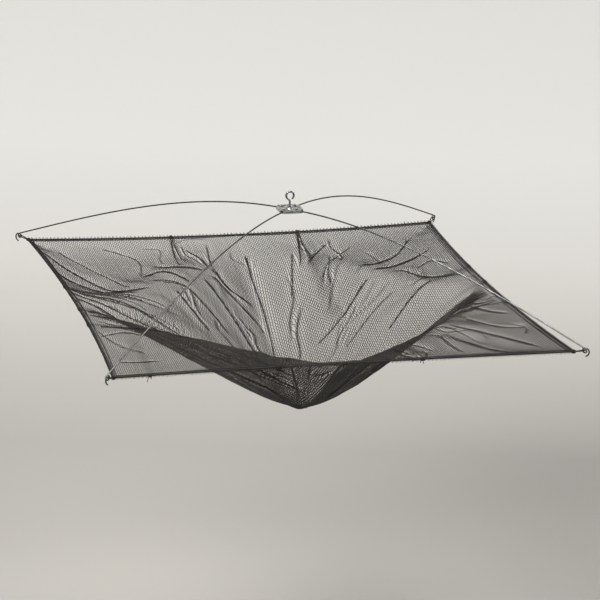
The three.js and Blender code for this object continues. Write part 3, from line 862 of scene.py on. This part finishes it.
def settle(grid, rounds, play):
    """Lets the netting slide over the hanging shape, so that its stretched meshes ease"""
    count = len(grid)
    spacing = net_cut / (count - 1)
    free = np.zeros((count, count, 1))
    free[1:-1, 1:-1] = 1
    drift = np.zeros_like(grid)
    every = slice(None)
    links = []
    for start in (0, 1):
        near, far = slice(start, count - 1, 2), slice(start + 1, count, 2)
        links += [((near, every), (far, every)), ((every, near), (every, far))]
    for turn in range(rounds):
        before = grid.copy()
        grid += drift * settle_drift * free
        for a, b in links:
            gap = grid[b] - grid[a]
            length = np.sqrt((gap * gap).sum(-1, keepdims=True))
            pull = (length > spacing) / np.maximum(free[a] + free[b], 1)
            move = pull * (1 - spacing / np.maximum(length, 1e-9)) * gap
            grid[a] += move * free[a]
            grid[b] -= move * free[b]
        if turn % 2 == 0:
            off = grid[..., 2] - hang_height(grid[..., 0], grid[..., 1])
            grid[..., 2] -= (off - np.clip(off, -play, play)) * free[..., 0] * settle_pull
        drift = grid - before
    return grid


def finer(grid):
    """The same sheet with twice the meshes each way, on smooth curves"""

    def between(lines):
        middle = (lines[1:] + lines[:-1]) / 2
        middle[1:-1] = (9 * (lines[1:-2] + lines[2:-1]) - (lines[:-3] + lines[3:])) / 16
        return middle

    count = 2 * len(grid) - 1
    made = np.zeros((count, count, 3))
    made[::2, ::2] = grid
    made[1::2, ::2] = between(grid)
    made[:, 1::2] = between(made[:, ::2].transpose(1, 0, 2)).transpose(1, 0, 2)
    return made


def flatness(height):
    """1 in the flat netting near the rim, and 0 down in the bag"""
    return np.clip((height - bag_top) / flat_rise, 0, 1)


def smooth_step(share):
    """A share from 0 to 1 that starts and ends softly"""
    return share * share * (3 - 2 * share)


def crease_line(points):
    """A smooth curve through the points of a crease, in plan"""
    given = np.array(points, float)
    at = run_along(given)
    slope = np.gradient(given, at, axis=0)
    steps = np.linspace(0, at[-1], crease_steps)
    i = np.clip(np.searchsorted(at, steps, "right") - 1, 0, len(given) - 2)
    span = (at[i + 1] - at[i])[:, None]
    s = (steps - at[i])[:, None] / span
    return (
        (2 * s**3 - 3 * s**2 + 1) * given[i]
        + (s**3 - 2 * s**2 + s) * span * slope[i]
        + (3 * s**2 - 2 * s**3) * given[i + 1]
        + (s**3 - s**2) * span * slope[i + 1]
    )


def creased(grid, lines):
    """Draws the netting in to each crease, and sets the crease below a soft swell"""
    x, y = grid[..., 0], grid[..., 1]
    shift = np.zeros(x.shape + (2,))
    drop = np.zeros(x.shape)
    strongest = np.zeros(x.shape)
    for strength, points in lines:
        line = crease_line(points)
        reach = crease_reach * (0.6 + 0.3 * strength)
        low, high = line.min(0) - crease_margin, line.max(0) + crease_margin
        close = (x > low[0]) & (x < high[0]) & (y > low[1]) & (y < high[1])
        place = np.stack([x[close], y[close]], -1)
        distances = np.linalg.norm(place[:, None] - line[None], axis=-1)
        nearest = distances.argmin(1)
        away = distances.min(1)
        offset = line[nearest] - place
        ends = np.minimum(nearest, crease_steps - 1 - nearest) / crease_fade
        ends = smooth_step(np.clip(ends, 0, 1))
        pull = np.minimum(crease_squeeze * strength, crease_squeeze)
        pull = pull * ends * np.exp(-((away / reach) ** 2))
        # Where creases meet, each mesh goes to the one that draws it most
        wins = pull > strongest[close]
        shift[close] = np.where(wins[:, None], offset * pull[:, None], shift[close])
        strongest[close] = np.maximum(pull, strongest[close])
        ahead = np.gradient(line, axis=0)[nearest]
        hand = np.sign(ahead[:, 1] * offset[:, 0] - ahead[:, 0] * offset[:, 1])
        widths = away / crease_width
        flat = flatness(hang_height(x[close], y[close]))
        valley = np.exp(-(widths**2)) * (1 + 0.8 * flat)
        swell = np.exp(-(((widths - 2.6) / 1.8) ** 2)) * (0.6 + 0.4 * hand)
        lowered = -strength * ends * (crease_depth * valley - swell_height * swell)
        drop[close] = np.where(wins, lowered, drop[close])
    length = np.linalg.norm(shift, axis=-1, keepdims=True)
    shift *= np.minimum(1, 1.3 * crease_reach / np.maximum(length, 1e-9))
    made = grid.copy()
    made[1:-1, 1:-1, :2] += shift[1:-1, 1:-1]
    moved = made[1:-1, 1:-1]
    fade = np.clip(rim_gap(moved[..., 0], moved[..., 1]) / crease_start, 0, 1)
    moved[..., 2] += hang_height(moved[..., 0], moved[..., 1]) - hang_height(x, y)[1:-1, 1:-1]
    moved[..., 2] += drop[1:-1, 1:-1] * fade
    return made


def streaks(x, y, random):
    """Smooth random heights in streaks from the bag's point to the rim"""
    spokes, rings, farthest = 64, 5, 0.62
    dx, dy = x - bag_point[0], y - bag_point[1]
    span = np.hypot(dx, dy)
    table = random.standard_normal((spokes, rings + 2))
    turn = np.arctan2(dy, dx) / (2 * math.pi) % 1 * spokes
    out = np.clip(span / farthest, 0, 0.999) * rings
    i, j = np.floor(turn).astype(int) % spokes, np.floor(out).astype(int)
    s, t = turn - np.floor(turn), out - j
    s, t = smooth_step(s), smooth_step(t)
    k = (i + 1) % spokes
    near = table[i, j] * (1 - s) + table[k, j] * s
    far = table[i, j + 1] * (1 - s) + table[k, j + 1] * s
    return (near * (1 - t) + far * t) * np.clip(span / streak_clear, 0, 1) ** 2


def hung_net():
    """The hanging netting, one point for each crossing of its strands"""
    random = np.random.default_rng(4)
    count = first_crossings
    edges = on_rim(np.zeros((count - 2, count - 2, 3)))
    u = np.linspace(0, 1, count)[:, None, None]
    v = np.linspace(0, 1, count)[None, :, None]
    grid = (1 - v) * edges[:, :1] + v * edges[:, -1:] + (1 - u) * edges[:1] + u * edges[-1:]
    grid = grid - (
        (1 - u) * (1 - v) * edges[0, 0]
        + u * v * edges[-1, -1]
        + u * (1 - v) * edges[-1, 0]
        + (1 - u) * v * edges[0, -1]
    )
    grid[1:-1, 1:-1, 2] = hang_height(grid[1:-1, 1:-1, 0], grid[1:-1, 1:-1, 1])
    for rounds in settle_rounds:
        grid = settle(grid, rounds, settle_play)
        grid = on_rim(finer(grid)[1:-1, 1:-1])
    fade = np.clip(rim_gap(grid[..., 0], grid[..., 1]) / streak_start, 0, 1)
    grid[..., 2] += streak_height * streaks(grid[..., 0], grid[..., 1], random) * fade
    grid = creased(grid, creases + scattered_creases(random))
    grid[1:-1, 1:-1] += mesh_unevenness * random.standard_normal(grid.shape)[1:-1, 1:-1]
    # Chains lean to and fro, so that the meshes are diamonds
    rows, columns = np.indices(grid.shape[:2])[:, 1:-1, 1:-1]
    lean = zigzag * (-1.0) ** (rows + columns)
    grid[1:-1, 1:-1] += lean[..., None] * (grid[2:, 1:-1] - grid[:-2, 1:-1]) / 2
    return grid


net_grid = hung_net()
net_nylon = nylon_material(
    "net_nylon", bump=0.15, Dark=(0.010, 0.008, 0.0065, 1), Light=(0.032, 0.026, 0.021, 1),
    Patches=9,
)
# The strands that run front to back are chained and thick; thin ones cross between them.
# More of them lie gathered along the creases. Loops and a sewn line make the hem.
chain_radius = 0.00108
cross_radius = 0.00029
pleat_radius = 0.0009
pleat_drop, pleat_step = 0.0012, 0.0008  # depth of the first layer, and between layers
pleat_sway, pleat_spread = 0.0007, 0.0006
pleat_clear = 0.006  # distance from the cords that stays free of pleats
loop_radius = 0.00042
sewn_radius, sewn_gap = 0.0006, 0.0009
rim_thinning = 0.32  # share by which the strands are drawn thinner near the rim


def strand_tree():
    """Geometry Nodes: every line of edges becomes one thin nylon strand"""
    tree = bpy.data.node_groups.new("net_strands", "GeometryNodeTree")
    _, radius, sides, _ = [
        tree.interface.new_socket(label, in_out=way, socket_type=f"NodeSocket{kind}")
        for label, way, kind in (
            ("Geometry", "INPUT", "Geometry"),
            ("Strand Radius", "INPUT", "Float"),
            ("Strand Sides", "INPUT", "Int"),
            ("Geometry", "OUTPUT", "Geometry"),
        )
    ]
    mesh, strand_radius, strand_sides, _ = tree.nodes.new("NodeGroupInput").outputs
    lines = add_node(tree, "GeometryNodeMeshToCurve", mesh)
    section = add_node(
        tree, "GeometryNodeCurvePrimitiveCircle", Radius=strand_radius, Resolution=strand_sides
    )
    share = add_node(tree, "GeometryNodeInputNamedAttribute", data_type="FLOAT", Name="strand_share")
    feeds = {
        "Curve": lines.outputs["Curve"],
        "Profile Curve": section.outputs["Curve"],
        "Scale": share.outputs["Attribute"],
        "Fill Caps": True,
    }
    bars = add_node(tree, "GeometryNodeCurveToMesh", **feeds)
    real = add_node(tree, "GeometryNodeRealizeInstances", bars.outputs["Mesh"])
    finish = add_node(
        tree, "GeometryNodeSetMaterial", Geometry=real.outputs["Geometry"], Material=net_nylon
    )
    add_node(tree, "NodeGroupOutput", finish.outputs["Geometry"])
    return tree, radius.identifier, sides.identifier


net_strands, radius_socket, sides_socket = strand_tree()


def stranded(name, runs, radius, sides=3, drawn_thin=0.0):
    """Thin strands along runs of points, drawn thinner near the rim and most at the left"""
    points = np.vstack(runs)
    edges, count = [], 0
    for run in runs:
        edges += [(count + i, count + i + 1) for i in range(len(run) - 1)]
        count += len(run)
    mesh = bpy.data.meshes.new(name + "_lines")
    mesh.from_pydata(points.tolist(), edges, [])
    near_rim = flatness(points[:, 2]) * np.clip(0.85 - points[:, 0] - 0.4 * points[:, 1], 0.2, 1.1)
    share = mesh.attributes.new("strand_share", "FLOAT", "POINT")
    share.data.foreach_set("value", 1 - drawn_thin * near_rim)
    lines = placed(name + "_lines", mesh)
    thicken = lines.modifiers.new("net_strands", "NODES")
    thicken.node_group = net_strands
    thicken[radius_socket] = radius
    thicken[sides_socket] = sides
    shown = lines.evaluated_get(bpy.context.evaluated_depsgraph_get())
    made = placed(name, bpy.data.meshes.new_from_object(shown))
    bpy.data.objects.remove(lines)
    return made


def pleat_runs(arm, random):
    """Meshes that lie gathered along the creases of one quarter"""
    out = np.array([math.cos(corner_angles[arm]), math.sin(corner_angles[arm])])
    bends = np.arange(0, 70, 5)
    runs = []
    for strength, points in creases:
        line = crease_line(points)
        line = line[(line[:, 0] * out[0] > 0) & (line[:, 1] * out[1] > 0)]
        line = line[rim_gap(line[:, 0], line[:, 1]) > pleat_clear]
        if len(line) < 8:
            continue
        ahead = np.gradient(line, axis=0)
        aside = np.stack([-ahead[:, 1], ahead[:, 0]], 1) / np.linalg.norm(ahead, axis=1)[:, None]
        for layer in range(1 + sum(strength > least for least in (0.55, 0.85, 1.15))):
            cut = random.integers(0, 6, 2)
            own = slice(cut[0], len(line) - cut[1])
            sway = random.normal(0, pleat_sway, len(bends))
            wander = np.interp(np.arange(len(line)), bends, sway) + pleat_spread * (layer - 1)
            place = line + aside * wander[:, None]
            level = hang_height(place[:, 0], place[:, 1]) - pleat_drop - pleat_step * layer
            runs.append(np.column_stack([place, level])[own])
    return runs


hem_widths = {"back": 0.006, "right": 0.011, "front": 0.006, "left": 0.008}
fringe_rises = {"back": 0.0042, "right": 0.0015, "front": -0.0035, "left": 0.0015}
fringe_out = 0.0033
loops_per_side = 226
loop_lean, loop_scatter = 0.0008, 0.0003
hem_lift = 0.0006
middle = (len(net_grid) - 1) // 2
first_half, last_half = slice(0, middle + 1), slice(middle, None)
quarter_spans = {
    1: (last_half, last_half),
    2: (first_half, last_half),
    3: (first_half, first_half),
    4: (last_half, first_half),
}


def hem_runs(side, half, random):
    """The netting's doubled edge: meshes that turn round the rim cord, and the sewn line"""
    out = np.array([*side_facts[side][0], 0.0])
    run = np.array([*side_facts[side][1], 0.0])
    shares = np.linspace(0.006, 0.994, loops_per_side).reshape(2, -1)[half]
    width, rise = hem_widths[side], fringe_rises[side]
    runs = []
    sewn = []
    for number, share in enumerate(shares):
        cord = rim_points(side, share)
        lean = run * (loop_lean * (-1) ** number + random.normal(0, loop_scatter))
        tip = fringe_out * random.uniform(0.6, 1.2)
        top = [cord - out * width * t for t in (1, 0.66, 0.33)]
        for point in top:
            point[2] = hang_height(point[0:1], point[1:2])[0] + hem_lift
        loop = [
            cord - out * 0.002 + (0, 0, 0.0024),
            cord + out * 0.0012 + lean + (0, 0, 0.0026),
            cord + out * tip + lean * 2 + (0, 0, rise * random.uniform(0.7, 1.2)),
            cord + out * 0.0016 - lean + (0, 0, -0.0022),
            cord - out * 0.002 + (0, 0, -0.0026),
        ]
        runs.append(np.array(top + loop))
        sewn.append(top[0] + (0, 0, hem_lift))
    return runs, np.array(sewn)


random = np.random.default_rng(9)
for arm, corner in corners.items():
    part = net_grid[quarter_spans[arm]]
    strands = [
        stranded("chains", list(part), chain_radius, drawn_thin=rim_thinning),
        stranded("crossings", list(part.transpose(1, 0, 2)), cross_radius, drawn_thin=rim_thinning),
        stranded("pleats", pleat_runs(arm, random), pleat_radius),
    ]
    quarter = joined(f"net_{corner}", strands)
    quarter.data.materials.append(net_nylon)
    for side, (_, _, ends) in side_facts.items():
        if arm not in ends:
            continue
        half = ends.index(arm)
        loops, sewn = hem_runs(side, half, random)
        strands = [
            stranded("loops", loops, loop_radius),
            stranded("sewn", [sewn, sewn + (0, 0, sewn_gap)], sewn_radius, 4),
        ]
        hem = joined(f"hem_{side}_{half + 1}", strands)
        hem.data.materials.append(net_nylon)
        fold_with_corner(hem, arm, "net")
    fold_with_corner(quarter, arm, "net")


# Ties
# Short lengths of thin black twine, each wound round a rim cord and the gathered netting and
# knotted, with two loose tails. They take up the slack of each side.
tie_turns = 4.5
tie_coil = 0.0032
tie_width = 0.0075
tie_knot_out, tie_knot_low = 0.0035, 0.001
tail_out = 0.002
near_share = 0.004  # how far along the side the cord's direction is taken
twine_lay = 0.004
wrap_twine, knot_twine, tail_twine = 0.0009, 0.0008, 0.0007
random = np.random.default_rng(11)
for side, shares in tie_shares.items():
    _, _, ends = side_facts[side]
    inward = -np.array([*side_facts[side][0], 0.0])
    for number, share in enumerate(shares, 1):
        centre = rim_points(side, share)
        along = rim_points(side, share + near_share) - rim_points(side, share - near_share)
        knot_place = centre + inward * tie_knot_out
        knot_middle = knot_place - (0, 0, tie_knot_low)
        coil = knot_route(centre, along, tie_turns, tie_coil, tie_width, random.uniform(0, 6))
        knot = knot_route(knot_middle, (0, 0, 1), turns=1.6, coil=0.0012, reach=0.003, phase=1.0)
        pieces = [
            twisted("wrap", coil, wrap_twine, twine_lay),
            twisted("knot", knot, knot_twine, twine_lay),
        ]
        for _ in range(2):
            reach = random.uniform(0.008, 0.016)
            sway = random.uniform(-0.006, 0.006)
            t = np.linspace(0, 1, 9)[:, None]
            aside = along / np.linalg.norm(along) * sway * t
            hanging = np.array([0, 0, reach]) * t * (0.6 + 0.4 * t)
            tail = knot_place + aside + inward * tail_out * t - hanging
            pieces.append(twisted("tail", tail, tail_twine, twine_lay))
        tie = joined(f"tie_twine_{side}_{number}", pieces)
        tie.data.materials.append(cord_nylon)
        fold_with_corner(tie, ends[0] if share < 0.5 else ends[1], f"tie_{side}_{number}")
